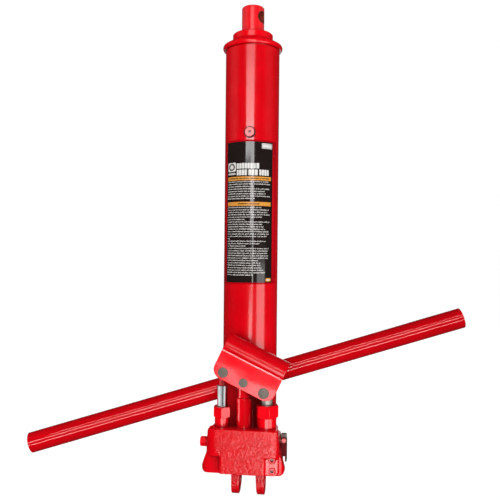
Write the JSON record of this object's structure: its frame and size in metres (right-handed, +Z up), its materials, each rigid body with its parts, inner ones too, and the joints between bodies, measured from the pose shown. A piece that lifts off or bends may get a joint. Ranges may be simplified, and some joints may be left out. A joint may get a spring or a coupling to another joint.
{
  "type": "long-ram hydraulic jack",
  "caption": "Tall red hydraulic jack with a clevis base, twin pump under a rocking handle socket, eye-ended ram and a loose tube handle.",
  "frame": {"origin": "centre of the clevis pin hole at the foot of the jack", "axes": "+Z up along the ram, +X along the clevis pin to the right seen from the pump side, -Y towards the pumps"},
  "size_m": [0.5909, 0.1674, 0.625],
  "materials": {
    "red_paint": "gloss enamel over machined steel",
    "red_cast_paint": "gloss enamel over a sand-cast skin",
    "handle_paint": "gloss enamel on drawn tube",
    "label": "printed film",
    "chrome": "hard chrome, polished",
    "ram_steel": "ground and lightly oiled",
    "bare_steel": "turned",
    "pin_steel": "dull zinc",
    "bearing_steel": "polished",
    "spring_steel": "dark oiled",
    "copper": "soft copper",
    "brass": "bronze",
    "rubber_black": "matt"
  },
  "bodies": {
    "jack_body": {"base_block": "red_cast_paint", "reservoir_tube": "red_paint", "tube_base_gasket": "copper", "tube_top_gasket": "copper", "inner_cylinder": "bare_steel", "cylinder_gasket": "copper", "cap_nut": "red_paint", "rod_seal": "rubber_black", "wiper_seal": "rubber_black", "filler_plug": "red_paint", "filler_seal": "rubber_black", "label": "label", "fulcrum_post": "red_paint", "left_pump_cylinder": "red_paint", "left_pump_seal": "rubber_black", "right_pump_cylinder": "red_paint", "right_pump_seal": "rubber_black", "valve_plugs": "red_paint", "side_plug": "red_paint", "side_plug_seal": "copper", "suction_filter": "brass", "release_gland": "red_paint", "release_o_ring": "rubber_black", "delivery_spring": "spring_steel", "relief_spring": "spring_steel"},
    "ram_seals": {"piston_seal": "rubber_black", "piston_guide_ring": "brass"},
    "ram": {"ram": "ram_steel", "piston_head": "bare_steel", "piston_nut": "bare_steel"},
    "rocker": {"rocker_bracket": "red_paint", "fulcrum_pin": "pin_steel", "left_plunger_pin": "pin_steel", "right_plunger_pin": "pin_steel", "pin_circlips": "spring_steel"},
    "left_plunger": {"left_plunger": "chrome"},
    "right_plunger": {"right_plunger": "bare_steel"},
    "release_valve": {"release_stem": "pin_steel", "release_link_pin": "red_paint"},
    "release_link": {"release_link": "red_cast_paint"},
    "release_ball": {"release_ball": "bearing_steel"},
    "left_suction_ball": {"left_suction_ball": "bearing_steel"},
    "right_suction_ball": {"right_suction_ball": "bearing_steel"},
    "delivery_ball": {"delivery_ball": "bearing_steel"},
    "relief_ball": {"relief_ball": "bearing_steel"},
    "handle_lower": {"handle_lower": "handle_paint"},
    "handle_upper": {"handle_upper": "handle_paint"}
  },
  "joints": [
    {"name": "ram_travel", "type": "slide", "parent": "jack_body", "child": "ram_seals", "axis": [0, 0, 1], "range_m": [0, 0.47]},
    {"name": "ram_swivel", "type": "hinge", "parent": "ram_seals", "child": "ram", "pos_m": [0, 0, 0.061], "axis": [0, 0, 1], "continuous": true},
    {"name": "rocker_swing", "type": "hinge", "parent": "jack_body", "child": "rocker", "pos_m": [0, -0.051, 0.141], "axis": [0, -1, 0], "range_deg": [0, 50.8]},
    {"name": "left_pump_stroke", "type": "slide", "parent": "jack_body", "child": "left_plunger", "axis": [0, 0, 1], "range_m": [-0.0232, 0]},
    {"name": "right_pump_stroke", "type": "slide", "parent": "jack_body", "child": "right_plunger", "axis": [0, 0, 1], "range_m": [0, 0.0232]},
    {"name": "release_turn", "type": "hinge", "parent": "jack_body", "child": "release_valve", "pos_m": [0.044, -0.038, 0.067], "axis": [1, 0, 0], "range_deg": [0, 270]},
    {"name": "release_link_fold", "type": "hinge", "parent": "release_valve", "child": "release_link", "pos_m": [0.0477, -0.038, 0.0687], "axis": [0, -1, 0], "range_deg": [0, 90]},
    {"name": "release_ball_lift", "type": "slide", "parent": "jack_body", "child": "release_ball", "axis": [1, 0, 0], "range_m": [0, 0.0012]},
    {"name": "left_suction_ball_lift", "type": "slide", "parent": "jack_body", "child": "left_suction_ball", "axis": [0, 0, 1], "range_m": [0, 0.0012]},
    {"name": "right_suction_ball_lift", "type": "slide", "parent": "jack_body", "child": "right_suction_ball", "axis": [0, 0, 1], "range_m": [0, 0.0012]},
    {"name": "delivery_ball_lift", "type": "slide", "parent": "jack_body", "child": "delivery_ball", "axis": [0, -1, 0], "range_m": [0, 0.0012], "stiffness_N_per_m": 200, "springref_m": -0.002, "deforming": ["delivery_spring"]},
    {"name": "relief_ball_lift", "type": "slide", "parent": "jack_body", "child": "relief_ball", "axis": [0, -1, 0], "range_m": [0, 0.0012], "stiffness_N_per_m": 200, "springref_m": -0.002, "deforming": ["relief_spring"]},
    {"name": "handle_lift_off", "type": "slide", "parent": "jack_body", "child": "handle_lower", "axis": [-0.1219, 0.9925, 0], "range_m": [0, 0.25]},
    {"name": "handle_halves_part", "type": "slide", "parent": "handle_lower", "child": "handle_upper", "axis": [0.9507, 0.1167, 0.2874], "range_m": [0, 0.1]}
  ],
  "couplings": [
    {"joint": "left_pump_stroke", "follows": "rocker_swing", "m_per_rad": -0.026124},
    {"joint": "right_pump_stroke", "follows": "rocker_swing", "m_per_rad": 0.026124}
  ]
}
